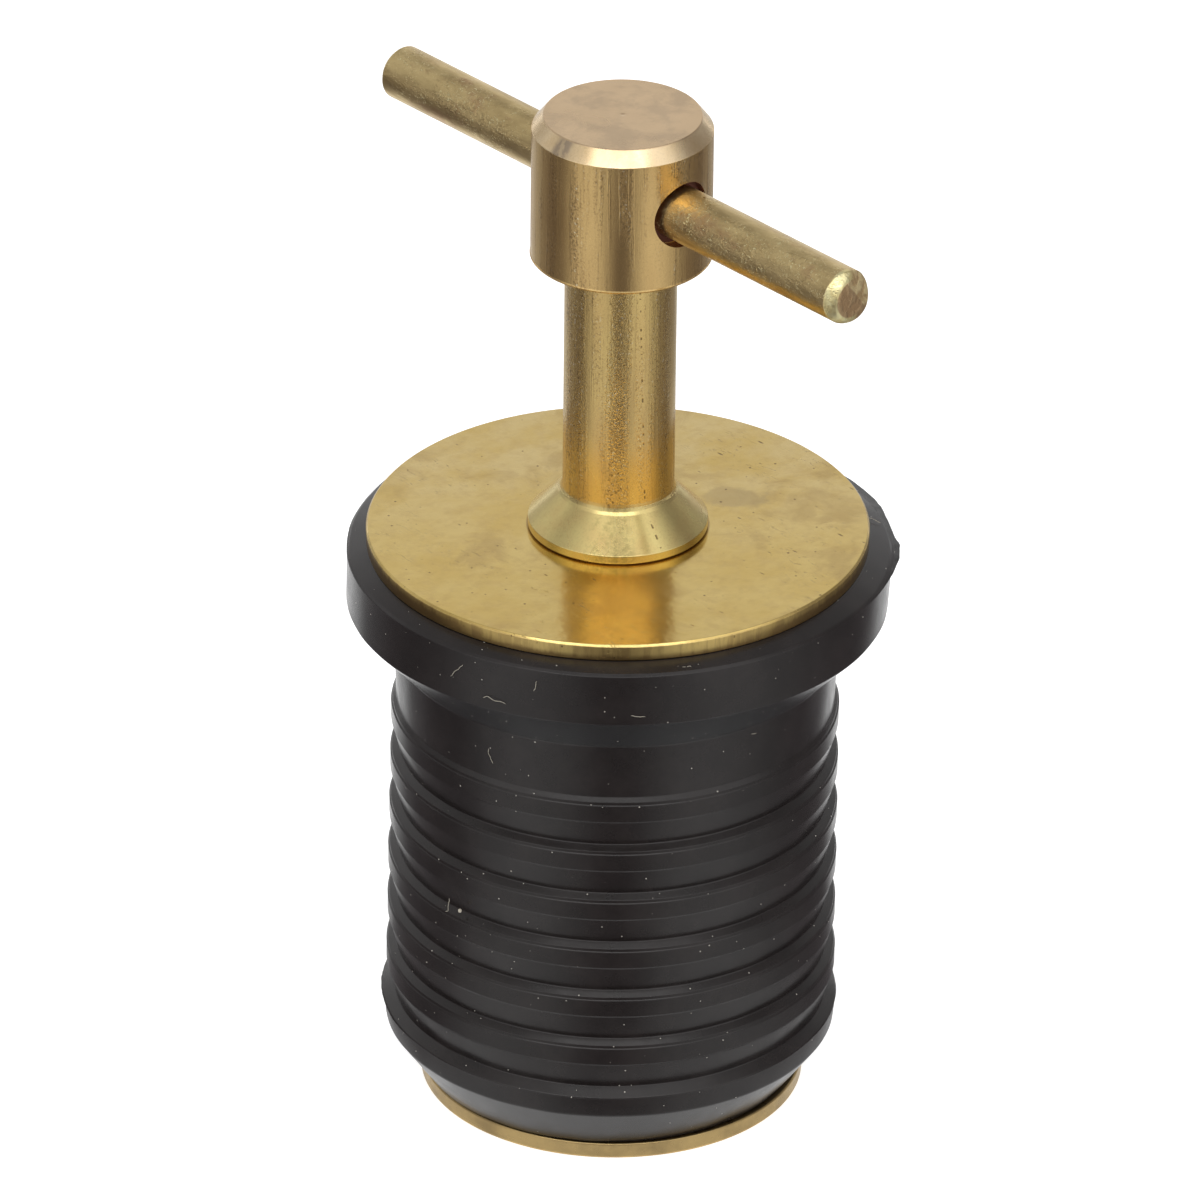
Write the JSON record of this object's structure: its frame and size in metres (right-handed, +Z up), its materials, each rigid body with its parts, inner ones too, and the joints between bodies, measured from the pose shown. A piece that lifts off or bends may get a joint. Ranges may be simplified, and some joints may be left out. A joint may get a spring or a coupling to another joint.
{
  "type": "expanding drain plug",
  "caption": "Expanding rubber plug for a boat's drain tube: a brass T-handle screw squeezes a ribbed sleeve between a washer and a plate.",
  "frame": {"origin": "centre of the bottom plate's underside, where the plug stands", "axes": "+Z up the screw towards the T handle, X along the cross bar at rest"},
  "size_m": [0.0364, 0.03, 0.0597],
  "materials": {
    "screw_brass": "satin turned brass",
    "bar_brass": "dull nicked brass rod",
    "washer_brass": "rolled sheet, lightly tarnished",
    "sleeve_rubber": "satin black moulded rubber",
    "plate_brass": "rolled sheet",
    "nut_brass": "turned brass"
  },
  "bodies": {
    "plug_body": {"rubber_sleeve": "sleeve_rubber", "top_washer": "washer_brass"},
    "handle": {"handle_screw": "screw_brass", "t_bar": "bar_brass"},
    "clamp": {"bottom_plate": "plate_brass", "thread_nut": "nut_brass"}
  },
  "joints": [
    {"name": "handle_turn", "type": "hinge", "parent": "plug_body", "child": "handle", "pos_m": [0, 0, 0.03448], "axis": [0, 0, 1], "range_deg": [-1080, 0]},
    {"name": "clamp_lift", "type": "slide", "parent": "plug_body", "child": "clamp", "axis": [0, 0, 1], "range_m": [0, 0.003], "deforming": ["rubber_sleeve"]}
  ],
  "couplings": [
    {"joint": "clamp_lift", "follows": "handle_turn", "m_per_rad": -0.00015915}
  ]
}
